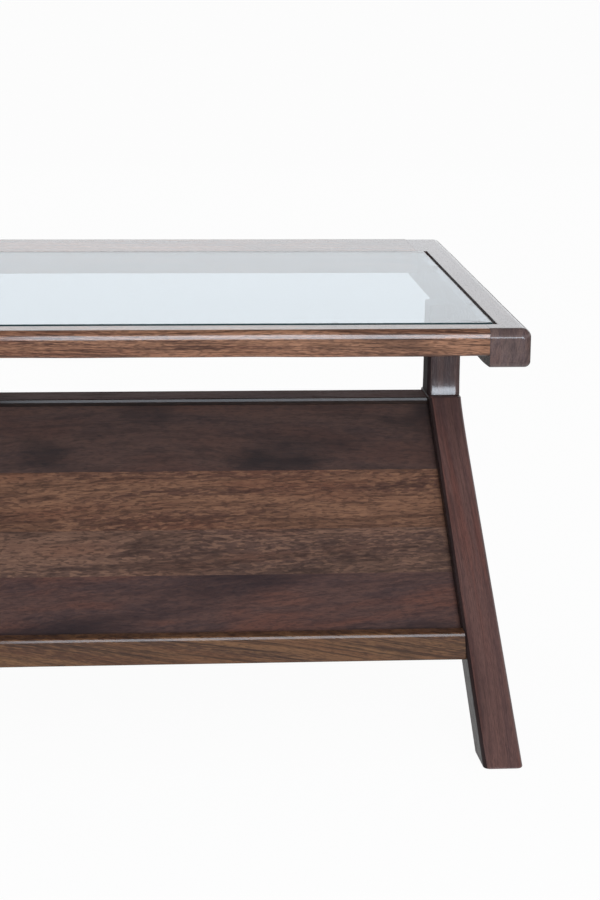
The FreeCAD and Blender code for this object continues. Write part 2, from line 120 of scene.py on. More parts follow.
# Shared lines, read from the frame
POST_LOW, POST_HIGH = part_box("post_right")
LEG_LOW, LEG_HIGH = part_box("leg_front_right")
RAIL_LOW, RAIL_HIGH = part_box("end_rail_right")
RIDGE_LOW, RIDGE_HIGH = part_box("ridge_rail")
LEDGE_LOW, LEDGE_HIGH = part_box("front_ledge")
GLASS_LOW, GLASS_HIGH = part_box("glass_pane")
WELL_FLOOR = RAIL_HIGH.z - REBATE_DEPTH
JOINT_HEIGHT = LEG_HIGH.z
RAKE_TOP = POST_LOW.y
RAKE_RUN = RAKE_TOP - LEG_LOW.y
RAKE_LENGTH = math.hypot(RAKE_RUN, JOINT_HEIGHT)
RAKE_SINE = JOINT_HEIGHT / RAKE_LENGTH
RAKE_COSINE = RAKE_RUN / RAKE_LENGTH
SPLAY_SLOPE = (LEDGE_HIGH.x + GLUE_LINE - POST_LOW.x) / (JOINT_HEIGHT - LEDGE_LOW.z)


def wave(place, seed):
    """A slow unevenness between -1 and 1: the sum of sines of unlike lengths along the piece."""
    return sum(share * np.sin(pace * place + phase * seed) for share, pace, phase in WAVES)


def end_inset(distance, radius):
    """How far a quarter round draws a surface in, at this distance from the end that it rounds."""
    gap = np.clip(radius - distance, 0, radius)
    return radius - np.sqrt(radius ** 2 - gap ** 2)


def unit(vectors):
    """The vectors, each with a length of one."""
    return vectors / np.linalg.norm(vectors, axis=-1, keepdims=True)


def outlines(corners, radii):
    """The outlines of many polygons with rounded corners, as (stations, points, 2).

    At a corner the arc's centre lies on the bisector, radius / sin(half angle) from the corner, and the arc
    is the slerp of its first and last radius. A straight run, divided closely at its ends so that it shades
    flat, leads to the next corner.
    """
    before = unit(np.roll(corners, 1, axis=1) - corners)
    after = unit(np.roll(corners, -1, axis=1) - corners)
    half = np.arccos(np.clip((before * after).sum(-1), -1, 1)) / 2
    reach = (radii / np.tan(half))[..., None]
    centre = corners + unit(before + after) * (radii / np.sin(half))[..., None]
    first = corners + before * reach - centre
    last = corners + after * reach - centre
    sweep = (np.pi - 2 * half)[..., None, None]
    share = np.linspace(0, 1, ARC_STEPS)[:, None]
    arcs = np.sin((1 - share) * sweep) * first[:, :, None] + np.sin(share * sweep) * last[:, :, None]
    arcs = centre[:, :, None] + arcs / np.sin(sweep)
    share = np.array(RUN_SHARES)[:, None]
    next_start = np.roll(arcs[:, :, :1], -1, axis=1)
    runs = arcs[:, :, -1:] * (1 - share) + next_start * share
    return np.concatenate([arcs, runs], axis=2).reshape(len(corners), -1, 2)


def stations(low, high, ends):
    """Places from low to high, an even step apart, with those of the end roundings among them."""
    even = np.linspace(low, high, max(2, round((high - low) / STATION_STEP)))
    return np.unique(np.concatenate([even, ends]))


def quarter_steps(radius):
    """Distances from an end at which its quarter round is drawn, closer towards the end."""
    return radius * (1 - np.cos(np.linspace(0, np.pi / 2, ARC_STEPS)))


def spread(section, count):
    """The same polygon at every station, as (stations, corners, 2) and (stations, corners)."""
    table = np.array(section, float)
    return np.repeat(table[None, :, :2], count, axis=0), np.repeat(table[None, :, 2], count, axis=0)


def box_corners(x_first, x_last, y_first, y_last):
    """The corners of a rectangle at every station, as (stations, 4, 2)."""
    x = np.stack([x_first, x_last, x_last, x_first], axis=1)
    y = np.stack([y_first, y_first, y_last, y_last], axis=1)
    return np.stack([x, y], axis=-1)


def rings_along(axis, places, outline):
    """Rings square to an axis: the outlines' two coordinates, and the place along that axis among them."""
    parts = [outline[..., 0], outline[..., 1]]
    parts.insert(axis, np.broadcast_to(places[:, None], outline.shape[:2]))
    return np.stack(parts, axis=-1)


def skin(rings, hearts=None):
    """Vertices and faces of a closed surface through rings of points, with a cap at each end.

    A cap is a few rings that shrink to the ring's heart, a point that sees the whole ring, and a pole there.
    """
    if hearts is None:
        hearts = rings[[0, -1]].mean(axis=1)
    first, last = rings[0] - hearts[0], rings[-1] - hearts[1]
    lower = [hearts[0] + first * share for share in reversed(CAP_RINGS)]
    upper = [hearts[1] + last * share for share in CAP_RINGS]
    every = np.concatenate([np.array(lower), rings, np.array(upper)])
    count, around = every.shape[:2]
    index = np.arange(count * around).reshape(count, around)
    ahead = np.roll(index, -1, axis=1)
    quads = np.stack([index[:-1], ahead[:-1], ahead[1:], index[1:]], axis=-1).reshape(-1, 4)
    pole = count * around
    below = np.stack([ahead[0], index[0], np.full(around, pole)], axis=-1)
    above = np.stack([index[-1], ahead[-1], np.full(around, pole + 1)], axis=-1)
    points = np.concatenate([every.reshape(-1, 3), hearts])
    return points, quads.tolist() + below.tolist() + above.tolist()


def faces_level(normals):
    """Which faces look straight up or down."""
    return np.abs(normals[:, 2]) > LEVEL


def faces_inward(side):
    """A test for faces that look to the middle of the table, on a piece at this end."""
    return lambda normals: normals[:, 0] * -side > SIDE_TURN


def piece(node, rings, material, grain, body="table", hearts=None, second=None):
    """A finished piece in place of a CAD node.

    grain is its three axes, along, across and into the board, and its place in the figure. second is
    another material and the test that picks its faces by their normals.
    """
    points, faces = skin(rings, hearts)
    mesh = bpy.data.meshes.new(f"{node}_finished")
    mesh.from_pydata(points.tolist(), [], faces)
    shape = bmesh.new()
    shape.from_mesh(mesh)
    bmesh.ops.remove_doubles(shape, verts=shape.verts, dist=MERGE_DISTANCE)
    bmesh.ops.dissolve_degenerate(shape, edges=shape.edges, dist=MERGE_DISTANCE)
    bmesh.ops.recalc_face_normals(shape, faces=shape.faces)
    shape.to_mesh(mesh)
    shape.free()
    mesh.shade_smooth()
    mesh.set_sharp_from_angle(angle=SHARP_ANGLE)
    places = np.empty(len(mesh.vertices) * 3)
    mesh.vertices.foreach_get("co", places)
    axes, offset = grain
    figure = places.reshape(-1, 3) @ np.array(axes).T + np.array(offset)
    attribute = mesh.attributes.new("grain", "FLOAT_VECTOR", "POINT")
    attribute.data.foreach_set("vector", figure.astype(np.float32).ravel())
    mesh.materials.append(material)
    if second:
        other, picks = second
        mesh.materials.append(other)
        normals = np.empty(len(mesh.polygons) * 3)
        mesh.polygons.foreach_get("normal", normals)
        chosen = picks(normals.reshape(-1, 3))
        mesh.polygons.foreach_set("material_index", chosen.astype(np.int32))
    made = bpy.data.objects.new(mesh.name, mesh)
    bpy.context.scene.collection.objects.link(made)
    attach(made, body)
    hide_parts(node)


def rake_y(z, depth):
    """Where the plane this deep behind the front leg's face passes the height z."""
    return RAKE_TOP - (JOINT_HEIGHT - z) * RAKE_RUN / JOINT_HEIGHT + depth / RAKE_SINE


def rake_z(y, depth):
    """The height at which that plane passes y."""
    return JOINT_HEIGHT - (RAKE_TOP + depth / RAKE_SINE - y) * JOINT_HEIGHT / RAKE_RUN


def rake_point(along, depth):
    """The (y, z) of a point this far down the leg's face and this deep behind it."""
    y = RAKE_TOP - along * RAKE_COSINE + depth * RAKE_SINE
    return y, JOINT_HEIGHT - along * RAKE_SINE - depth * RAKE_COSINE


def leg_inner(z):
    """The splayed inner face of the right legs at the height z."""
    return POST_LOW.x + (JOINT_HEIGHT - z) * SPLAY_SLOPE


def leg_outer(z):
    """The outer face of the right legs: upright at the joint, a straight splay from a little below it.

    At the depth d under the joint it has moved out by a share of d - curve (1 - exp(-d / curve)).
    """
    def eased(depth):
        return depth - LEG_CURVE * (1 - np.exp(-depth / LEG_CURVE))
    spread_out = LEG_HIGH.x - POST_HIGH.x
    return POST_HIGH.x + spread_out * eased(JOINT_HEIGHT - z) / eased(JOINT_HEIGHT - FOOT_ROUND)


class Wire:
    """A shader value. Sums, differences and products with it add Math nodes to its tree."""

    def __init__(self, tree, socket=None):
        self.tree = tree
        self.socket = socket

    def node(self, kind, settings=None, inputs=None, output=0):
        """Any node: its settings first, then the values or links of its sockets."""
        made = self.tree.nodes.new(kind)
        for name, value in (settings or {}).items():
            setattr(made, name, value)
        for name, value in (inputs or {}).items():
            if isinstance(value, Wire):
                self.tree.links.new(value.socket, made.inputs[name])
            else:
                made.inputs[name].default_value = value
        return Wire(self.tree, made.outputs[output] if len(made.outputs) else None)

    def out(self, name):
        """Another output of the same node."""
        return Wire(self.tree, self.socket.node.outputs[name])

    def math(self, operation, *values):
        """A Math node of these values, wires or numbers."""
        return self.node("ShaderNodeMath", {"operation": operation}, dict(enumerate(values)))

    def __add__(self, other):
        return self.math("ADD", self, other)

    def __radd__(self, other):
        return self.math("ADD", other, self)

    def __sub__(self, other):
        return self.math("SUBTRACT", self, other)

    def __rsub__(self, other):
        return self.math("SUBTRACT", other, self)

    def __mul__(self, other):
        return self.math("MULTIPLY", self, other)

    def at_most(self, other):
        """The smaller of the two values."""
        return self.math("MINIMUM", self, other)

    def at_least(self, other):
        """The larger of the two values."""
        return self.math("MAXIMUM", self, other)

    def between(self, low, high):
        """0 below low, 1 above high and smooth between."""
        settings = {"interpolation_type": "SMOOTHSTEP"}
        return self.node("ShaderNodeMapRange", settings, {"Value": self, "From Min": low, "From Max": high})

    def blend(self, low, high):
        """The mix of two colours by this value."""
        inputs = {"Factor": self, 6: low, 7: high}
        return self.node("ShaderNodeMix", {"data_type": "RGBA"}, inputs, output=2)

    def noise(self, along, across, deep, detail=2.0):
        """Noise of a grain vector, with so many lumps in a metre along, across and into the board."""
        scale = (along, across, deep)
        stretched = self.node("ShaderNodeVectorMath", {"operation": "MULTIPLY"}, {0: self, 1: scale})
        return self.node("ShaderNodeTexNoise", None, {"Vector": stretched, "Scale": 1.0, "Detail": detail})


def shade(red, green, blue):
    """A colour as read from a screen, 0 to 255, in linear light."""
    screen = np.array((red, green, blue)) / 255
    linear = np.where(screen > 0.04045, ((screen + 0.055) / 1.055) ** 2.4, screen / 12.92)
    return (*linear.tolist(), 1.0)


def new_material(name):
    """A material with an empty tree, and a wire to start from."""
    material = bpy.data.materials.new(name)
    material.use_nodes = True
    material.node_tree.nodes.clear()
    return material, Wire(material.node_tree)


def surfaced(material, start, inputs):
    """The material, finished with one Principled shader of these inputs."""
    surface = start.node("ShaderNodeBsdfPrincipled", None, inputs)
    start.node("ShaderNodeOutputMaterial", None, {"Surface": surface})
    return material


def board_grain(start, axis):
    """The grain vector of a board that runs along this axis, from its place on the table."""
    along = Vector(axis).normalized()
    across = Vector((0, 0, 1)).cross(along).normalized()
    place = start.node("ShaderNodeTexCoord", output="Object")
    settings = {"operation": "DOT_PRODUCT"}
    parts = {}
    for name, line in (("X", along), ("Y", across), ("Z", along.cross(across))):
        parts[name] = start.node("ShaderNodeVectorMath", settings, {0: place, 1: line}, output="Value")
    return start.node("ShaderNodeCombineXYZ", None, parts)


# The wood's figure: each noise's lumps along, across and deep, its detail, and where it begins and is full
FIGURE = {
    "patches": ((5.0, 70.0, 30.0, 2.0), (0.46, 0.66)),
    "bands": ((2.2, 130.0, 40.0, 3.0), (0.38, 0.62)),
    "lines": ((9.0, 560.0, 120.0, 2.0), (0.50, 0.64)),
    "flecks": ((75.0, 800.0, 300.0, 2.0), (0.46, 0.62)),
    "dashes": ((110.0, 1000.0, 400.0, 1.0), (0.52, 0.62)),
    "pores": ((90.0, 1500.0, 900.0, 1.0), (0.56, 0.68)),
}
CLOUD_DEPTH_DETAIL = (12.0, 3.0)
CLOUD_LIMITS = (0.50, 0.68)
BEND_NOISE = (3.0, 8.0, 8.0, 1.0)
BEND_REACH = 0.020
CURL_NOISE = (22.0, 60.0, 60.0, 1.0)
CURL_REACH = 0.002
NOISE_MIDDLE = 0.5
PLANING_NOISE = (12.0, 50.0, 50.0, 2.0)

# How dark, high or dull the parts of the figure are
LINE_DARK = 0.8
DASH_DARK = 0.7
PORE_DARK = 0.35
FLECK_RISE = 0.3
PORE_DROP = 0.8
PLANING_RISE = 1.2
FLECK_DULL = 0.08
PORE_DULL = 0.12
BUMP = {"Strength": 0.2, "Distance": 0.001}
LACQUER = {"IOR": 1.5, "Coat Roughness": 0.10, "Coat IOR": 1.5}


def wood(name, dark, body, light, red, slant=0.0, clouds=(7, 26), cloud=0.6, streak=0.5, fleck=0.6,
         warm=0.4, gloss=0.34, coat=0.4, shine=0.35, axis=None):
    """Stained, lacquered hardwood with interlocked grain.

    The grain vector is bent by slow noise and slanted, then read at several scales: clouds of dark
    heartwood, warm patches, bands and lines, short flecks and dashes, and pores. cloud, streak, fleck and
    warm say how strong they are, and clouds how many dark clouds there are in a metre along and across.
    """
    material, start = new_material(name)
    if axis is None:
        grain = start.node("ShaderNodeAttribute", {"attribute_name": "grain"}, output="Vector")
    else:
        grain = board_grain(start, axis)
    bend = grain.noise(*BEND_NOISE) - NOISE_MIDDLE
    curl = grain.noise(*CURL_NOISE) - NOISE_MIDDLE
    parts = start.node("ShaderNodeSeparateXYZ", None, {0: grain})
    across = parts.out("Y") + parts.out("X") * slant + bend * BEND_REACH + curl * CURL_REACH
    bent = start.node("ShaderNodeCombineXYZ", None,
                      {"X": parts.out("X"), "Y": across, "Z": parts.out("Z")})
    hearts = bent.noise(*clouds, *CLOUD_DEPTH_DETAIL).between(*CLOUD_LIMITS)
    read = {part: bent.noise(*noise).between(*limits) for part, (noise, limits) in FIGURE.items()}
    flecks, pores = read["flecks"], read["pores"]
    toned = (read["bands"] * streak).blend(body, light)
    toned = (flecks * fleck).blend(toned, light)
    toned = (read["patches"] * warm).blend(toned, red)
    toned = (read["lines"] * (LINE_DARK * streak)).blend(toned, dark)
    toned = (read["dashes"] * (DASH_DARK * fleck)).blend(toned, dark)
    toned = (hearts * cloud).blend(toned, dark)
    toned = (pores * PORE_DARK).blend(toned, dark)
    height = flecks * FLECK_RISE - pores * PORE_DROP + bent.noise(*PLANING_NOISE) * PLANING_RISE
    bump = start.node("ShaderNodeBump", None, {"Height": height, **BUMP})
    rough = gloss + flecks * FLECK_DULL + pores * PORE_DULL
    inputs = {"Base Color": toned, "Roughness": rough, "Normal": bump, "Specular IOR Level": shine,
              "Coat Weight": coat, **LACQUER}
    return surfaced(material, start, inputs)


def clear_glass():
    """Float glass with a blue-green body, clear to the lamps so that what lies under it stays lit."""
    material, start = new_material("float_glass")
    inputs = {"Base Color": (0.51, 0.58, 0.63, 1), "Roughness": 0.0, "IOR": 1.5, "Transmission Weight": 1.0}
    body = start.node("ShaderNodeBsdfPrincipled", None, inputs)
    clear = start.node("ShaderNodeBsdfTransparent", None, {"Color": (0.93, 0.96, 0.965, 1)})
    lamp_ray = start.node("ShaderNodeLightPath", output="Is Shadow Ray")
    surface = start.node("ShaderNodeMixShader", None, {0: lamp_ray, 1: body, 2: clear})
    tint = start.node("ShaderNodeVolumeAbsorption", None, {"Color": (0.25, 0.62, 0.66, 1), "Density": 9.0})
    start.node("ShaderNodeOutputMaterial", None, {"Surface": surface, "Volume": tint})
    return material


def ground_edge():
    """The pane's ground edge, dark teal and dull."""
    material, start = new_material("ground_glass_edge")
    mist = start.node("ShaderNodeTexCoord", output="Object").noise(300.0, 300.0, 300.0)
    colour = mist.blend(shade(24, 44, 48), shade(44, 72, 76))
    return surfaced(material, start, {"Base Color": colour, "Roughness": 0.35 + mist * 0.2})


def soft_plastic():
    """Clear soft plastic, a little cloudy."""
    material, start = new_material("clear_pad_plastic")
    mist = start.node("ShaderNodeTexCoord", output="Object").noise(900.0, 900.0, 900.0)
    colour = mist.blend(shade(120, 126, 128), shade(150, 156, 158))
    inputs = {"Base Color": colour, "Roughness": 0.28 + mist * 0.15, "Transmission Weight": 0.9, "IOR": 1.45}
    return surfaced(material, start, inputs)


def zinc_steel():
    """Zinc-plated steel with fine turning marks."""
    material, start = new_material("zinc_plated_steel")
    marks = start.node("ShaderNodeTexCoord", output="Object").noise(400.0, 400.0, 2500.0)
    colour = marks.blend(shade(150, 148, 140), shade(196, 194, 186))
    inputs = {"Base Color": colour, "Roughness": 0.25 + marks * 0.2, "Metallic": 1.0}
    return surfaced(material, start, inputs)


# Finishes: each wood's dark, body, light and red tones
LONG_RAIL_WOOD = wood(
    "long_rail_wood", shade(50, 32, 27), shade(97, 66, 53), shade(163, 118, 91), shade(120, 75, 58),
    slant=0.02, cloud=0.65, streak=0.75, fleck=0.75, coat=0.9, shine=0.1)
END_RAIL_WOOD = wood(
    "end_rail_wood", shade(54, 44, 45), shade(94, 77, 76), shade(118, 96, 88), shade(100, 72, 64),
    cloud=0.4, fleck=0.35, coat=0.9, shine=0.1)
LEG_WOOD = wood(
    "leg_wood", shade(51, 37, 37), shade(90, 65, 62), shade(112, 79, 71), shade(114, 64, 52),
    cloud=0.4, streak=0.4, fleck=0.35)
POST_WOOD = wood(
    "post_wood", shade(42, 34, 36), shade(76, 60, 60), shade(100, 76, 70), shade(92, 60, 53),
    cloud=0.5, fleck=0.3, gloss=0.22, coat=1.0)
# Painted shade and painted dark reflection: a darker, duller wood for the faces of posts and legs that look
# to the middle of the table, where they stand unlit beside the panels.
SHADED_SIDE_WOOD = wood(
    "inner_side_painted_shade", shade(28, 22, 23), shade(48, 37, 38), shade(62, 48, 46), shade(58, 39, 35),
    cloud=0.4, fleck=0.3, coat=0.15, shine=0.1)
# Painted shade: the ridge's lip and keel take near-black tones for the shade under the table top, while its
# level faces take the lighter, dull copy below; lit and shaded copies of one wood.
RIDGE_SHADED_WOOD = wood(
    "ridge_wood", shade(14, 10, 9), shade(34, 23, 20), shade(60, 42, 34), shade(52, 30, 24),
    cloud=0.5, fleck=0.4, coat=0.3, shine=0.1)
RIDGE_TOP_WOOD = wood(
    "ridge_top_wood", shade(62, 49, 48), shade(102, 82, 80), shade(126, 102, 96), shade(114, 84, 78),
    cloud=0.5, fleck=0.3, gloss=0.6, coat=0.0, shine=0.02)
LEDGE_WOOD = wood(
    "ledge_wood", shade(44, 29, 22), shade(78, 52, 39), shade(124, 88, 60), shade(96, 59, 40),
    slant=0.16, cloud=0.6, streak=0.8, coat=0.6, shine=0.1)
STAVE_WOODS = [
    wood("first_stave_wood", shade(41, 35, 36), shade(73, 56, 53), shade(94, 69, 60), shade(88, 59, 50),
         clouds=(6, 20), cloud=0.85, streak=0.4, fleck=0.4),
    wood("second_stave_wood", shade(56, 38, 34), shade(95, 66, 55), shade(142, 102, 78), shade(112, 71, 54),
         slant=-0.03, cloud=0.4, streak=0.6, fleck=0.7),
    wood("third_stave_wood", shade(52, 39, 36), shade(91, 68, 60), shade(134, 100, 82), shade(112, 75, 59),
         slant=-0.02, cloud=0.45, streak=0.6, fleck=0.7),
    wood("fourth_stave_wood", shade(44, 34, 37), shade(76, 57, 55), shade(100, 71, 62), shade(118, 72, 56),
         slant=-0.05, clouds=(2.5, 40), cloud=0.8, streak=0.4, fleck=0.45, warm=0.5),
]
CLEAT_TONES = (shade(46, 34, 30), shade(76, 56, 46), shade(106, 78, 60), shade(92, 60, 44))
FRONT_CLEAT_WOOD = wood("front_cleat_wood", *CLEAT_TONES, axis=(0, -RAKE_COSINE, -RAKE_SINE))
BACK_CLEAT_WOOD = wood("back_cleat_wood", *CLEAT_TONES, axis=(0, RAKE_COSINE, -RAKE_SINE))
DOWEL_WOOD = wood(
    "dowel_beech", shade(168, 132, 96), shade(196, 160, 122), shade(214, 182, 146), shade(204, 158, 118),
    gloss=0.6, coat=0.0, axis=(1, 0, 0.01))
GLASS = clear_glass()
GLASS_EDGE = ground_edge()

# The axes of the grain, along, across and into the board
GRAIN_X = ((1, 0, 0), (0, 0, 1), (0, 1, 0))
GRAIN_Y = ((0, 1, 0), (1, 0, 0), (0, 0, 1))
GRAIN_Z = ((0, 0, 1), (1, 0, 0), (0, 1, 0))


def rake_grain(side):
    """Grain along the length of a sloped board, across it down the slope."""
    return ((1, 0, 0), (0, side * RAKE_COSINE, RAKE_SINE), (0, -side * RAKE_SINE, RAKE_COSINE))


def long_rail(node, outer, inner, seed, offset):
    """A front or back rail: its section along X, with the glass's rebate and a face that leans at the top.

    Its lower edge, face and rounding are a little uneven, as planed by hand.
    """
    low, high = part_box(node)
    inward = math.copysign(1, inner - outer)
    wall = inner - inward * REBATE_LEDGE
    ease = np.array(RAIL_END_STEPS)
    places = stations(low.x, high.x, np.concatenate([low.x + ease, high.x - ease]))
    section = [(outer + inward * RAIL_LEAN, high.z, RAIL_TOP_ROUND),
               (outer, high.z - RAIL_LEAN_HEIGHT, RAIL_LEAN_ROUND), (outer, low.z, RAIL_BOTTOM_ROUND),
               (inner, low.z, RAIL_INNER_ROUND), (inner, WELL_FLOOR, REBATE_ROUND),
               (wall, WELL_FLOOR, REBATE_ROUND), (wall, high.z, REBATE_ROUND)]
    corners, radii = spread(section, len(places))
    corners[:, 2, 1] += EDGE_UNEVEN * (1 + wave(places, seed))
    corners[:, :2, 0] += (inward * FACE_UNEVEN * (1 + wave(places, seed + 2)))[:, None]
    corners[:, 2, 0] += inward * FACE_UNEVEN * (1 + wave(places, seed + 3))
    radii[:, 0] *= 1 + ROUND_UNEVEN * wave(places, seed + 1)
    rings = rings_along(0, places, outlines(corners, radii))
    middle = ((outer + wall) / 2, (low.z + WELL_FLOOR) / 2)
    hearts = np.array([(low.x, *middle), (high.x, *middle)])
    piece(node, rings, LONG_RAIL_WOOD, (GRAIN_X, offset), hearts=hearts)


def end_rail(node, side, seed, offset):
    """An end rail carried along Y: swept up underneath near its ends, rounded there, with a stopped rebate.

    Outside the rebate the three corners that shape it lie on the plain section, so every ring has the same
    number of points.
    """
    low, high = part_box(node)
    outer, inner = (high.x, low.x) if side > 0 else (low.x, high.x)
    wall = inner + side * REBATE_LEDGE
    well_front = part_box("front_rail")[1].y - REBATE_LEDGE
    well_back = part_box("back_rail")[0].y + REBATE_LEDGE
    rounding = quarter_steps(END_CORNER_ROUND)
    places = stations(low.y, high.y, np.concatenate([low.y + rounding, high.y - rounding]))
    places = np.sort(np.concatenate([places, np.repeat((well_front, well_back), 2)]))
    inside = (places > well_front) & (places < well_back)
    inside[np.flatnonzero(places == well_front)[-1]] = True
    inside[np.flatnonzero(places == well_back)[0]] = True
    distance = np.minimum(places - low.y, high.y - places)
    top_in = end_inset(distance, END_TOP_ROUND)
    under_in = end_inset(distance, END_BOTTOM_ROUND)
    sweep = np.clip(1 - distance / END_SWEEP_LENGTH, 0, 1)
    bottom = low.z + under_in + END_SWEEP_RISE * sweep ** 2
    top = high.z - top_in
    face = outer - side * end_inset(distance, END_CORNER_ROUND)
    step = np.where(inside, inner, inner - side * FLAT_STEP)
    x = np.broadcast_arrays(face, face, inner, step, np.where(inside, wall, inner), wall)
    z = (top, bottom, bottom, np.minimum(top - FLAT_STEP, WELL_FLOOR),
         np.where(inside, WELL_FLOOR, top), np.where(inside, top, top + FLAT_STEP))
    corners = np.stack([np.stack(x, axis=1), np.stack(z, axis=1)], axis=-1)
    top_round = END_TOP_ROUND * (1 + END_ROUND_UNEVEN * wave(places, seed))
    top_round = top_round - np.minimum(top_in, END_TOP_TAPER)
    bottom_round = END_BOTTOM_ROUND - np.minimum(under_in, END_BOTTOM_TAPER)
    well_round = np.where(inside, REBATE_ROUND, SHARP_EDGE)
    radii = np.stack(np.broadcast_arrays(
        np.maximum(top_round, END_LEAST_ROUND), np.maximum(bottom_round, END_LEAST_ROUND),
        RAIL_INNER_ROUND, well_round, REBATE_ROUND, well_round), axis=1)
    rings = rings_along(1, places, outlines(corners, radii))
    middle_x, middle_z = (outer + inner) / 2, (low.z + high.z) / 2
    hearts = np.array([(middle_x, low.y, middle_z), (middle_x, high.y, middle_z)])
    piece(node, rings, END_RAIL_WOOD, (GRAIN_Y, offset), hearts=hearts)


def post(node, side, offset):
    """A post in level sections: a slight flare at its foot, and its inner half beside the end rail.

    The flare is an arc of the radius (rise squared + flare squared) / (2 flare), upright where it begins.
    """
    low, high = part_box(node)
    inner, outer = (low.x, high.x) if side > 0 else (high.x, low.x)
    shoulder = RAIL_LOW.z - GLUE_LINE
    ease = quarter_steps(JOINT_EASE)
    places = stations(low.z, high.z, np.concatenate([low.z + ease, high.z - ease]))
    clear = places[np.abs(places - shoulder) > GLUE_LINE]
    places = np.sort(np.concatenate([clear, (shoulder, shoulder)]))
    cheek = places > shoulder
    cheek[np.flatnonzero(places == shoulder)[-1]] = True
    inset = np.maximum(end_inset(places - low.z, JOINT_EASE), end_inset(high.z - places, JOINT_EASE))
    flare_round = (POST_FLARE_RISE ** 2 + POST_FLARE ** 2) / (2 * POST_FLARE)
    gap = np.clip(low.z + POST_FLARE_RISE - places, 0, None)
    depth = POST_DEPTH / 2 + flare_round - np.sqrt(flare_round ** 2 - gap ** 2) - inset
    x_out = np.where(cheek, side * (RAIL_LOW.x - GLUE_LINE), outer - side * inset)
    corners = box_corners(inner + side * inset, x_out, -depth, depth)
    radii = np.full((len(places), 4), LEG_ARRIS)
    radii[cheek, 1:3] = REBATE_ROUND
    rings = rings_along(2, places, outlines(corners, radii))
    # The faces that look to the middle of the table get the darker wood of painted shade.
    piece(node, rings, POST_WOOD, (GRAIN_Z, offset), second=(SHADED_SIDE_WOOD, faces_inward(side)))


def leg(node, side, face, offset):
    """A leg in level sections that slide along its rake and splay, halved against its partner at the top."""
    ends = np.concatenate([quarter_steps(FOOT_ROUND), JOINT_HEIGHT - quarter_steps(JOINT_EASE)])
    z = stations(0, JOINT_HEIGHT, ends)
    inset = np.maximum(end_inset(z, FOOT_ROUND), end_inset(JOINT_HEIGHT - z, JOINT_EASE))
    middle = -GLUE_LINE / 2
    back = rake_y(z, LEG_DEPTH) - inset
    corners = box_corners(leg_inner(z) + inset, leg_outer(z) - inset, rake_y(z, 0) + inset,
                          np.minimum(back, middle))
    free = np.clip((middle - back) / LEG_ARRIS, 0, 1)
    radii = np.full((len(z), 4), LEG_ARRIS)
    radii[:, 2:] = (REBATE_ROUND + (LEG_ARRIS - REBATE_ROUND) * free)[:, None]
    rings = rings_along(2, z, outlines(corners, radii) * np.array((side, face)))
    axis = unit(np.array((side * SPLAY_SLOPE, -face * RAKE_RUN / JOINT_HEIGHT, -1.0)))
    across = unit(np.cross(axis, (0, 1, 0)))
    grain = ((axis, across, np.cross(axis, across)), offset)
    # The faces that look to the middle of the table get the darker wood of painted shade.
    piece(node, rings, LEG_WOOD, grain, second=(SHADED_SIDE_WOOD, faces_inward(side)))


def between_legs(node, section, material, grain, seed, heart=None, second=None):
    """A piece carried along X to the splayed inner faces of the legs, whose place depends on the height."""
    share = np.linspace(-1, 1, round(2 * leg_inner(0) / STATION_STEP))
    corners, radii = spread(section, len(share))
    radii = radii * (1 + ROUND_UNEVEN * wave(share, seed)[:, None])
    outline = outlines(corners, radii)
    reach = leg_inner(outline[..., 1]) - GLUE_LINE
    rings = np.stack([share[:, None] * reach, outline[..., 0], outline[..., 1]], axis=-1)
    hearts = None
    if heart is not None:
        end = leg_inner(heart[1]) - GLUE_LINE
        hearts = np.array([(-end, *heart), (end, *heart)])
    piece(node, rings, material, grain, hearts=hearts, second=second)


def ridge_rail(offset):
    """The ridge rail's T section: a lip over the panels' upper edges, planed back at its top, and a keel."""
    lip = RIDGE_HIGH.z - RIDGE_LIP_HEIGHT
    half, keel = RIDGE_HIGH.y, KEEL_WIDTH / 2
    right = [(half - RIDGE_LEAN, RIDGE_HIGH.z, RIDGE_ROUND / 2),
             (half, RIDGE_HIGH.z - RIDGE_LEAN_HEIGHT, RIDGE_ROUND), (half, lip, RIDGE_ROUND / 2),
             (keel, lip, REBATE_ROUND), (keel, RIDGE_LOW.z, RIDGE_ROUND)]
    section = right + [(-y, z, radius) for y, z, radius in reversed(right)]
    heart = (0, lip + RIDGE_ROUND / 2)
    # Level faces get the lighter, dull copy; the other faces keep the near-black painted shade.
    top = (RIDGE_TOP_WOOD, faces_level)
    between_legs("ridge_rail", section, RIDGE_SHADED_WOOD, (GRAIN_X, offset), 4, heart, top)


def ledge(node, face, offset):
    """The ledge: a rounded bar along the foot of the panel, its front planed back at the top."""
    front, back = LEDGE_LOW.y * face, LEDGE_HIGH.y * face
    section = [(front + LEDGE_LEAN * face, LEDGE_HIGH.z, LEDGE_ROUND),
               (front, LEDGE_HIGH.z - LEDGE_LEAN_HEIGHT, LEDGE_ROUND), (front, LEDGE_LOW.z, LEDGE_ROUND),
               (back, LEDGE_LOW.z, LEDGE_ROUND), (back, LEDGE_HIGH.z, LEDGE_ROUND)]
    between_legs(node, section, LEDGE_WOOD, (GRAIN_X, offset), 6)


def stave_start(number):
    """How far down the rake a front stave's face begins, from its box."""
    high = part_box(f"front_stave_{number}")[1]
    return (JOINT_HEIGHT - high.z - PANEL_RECESS * RAKE_COSINE) / RAKE_SINE


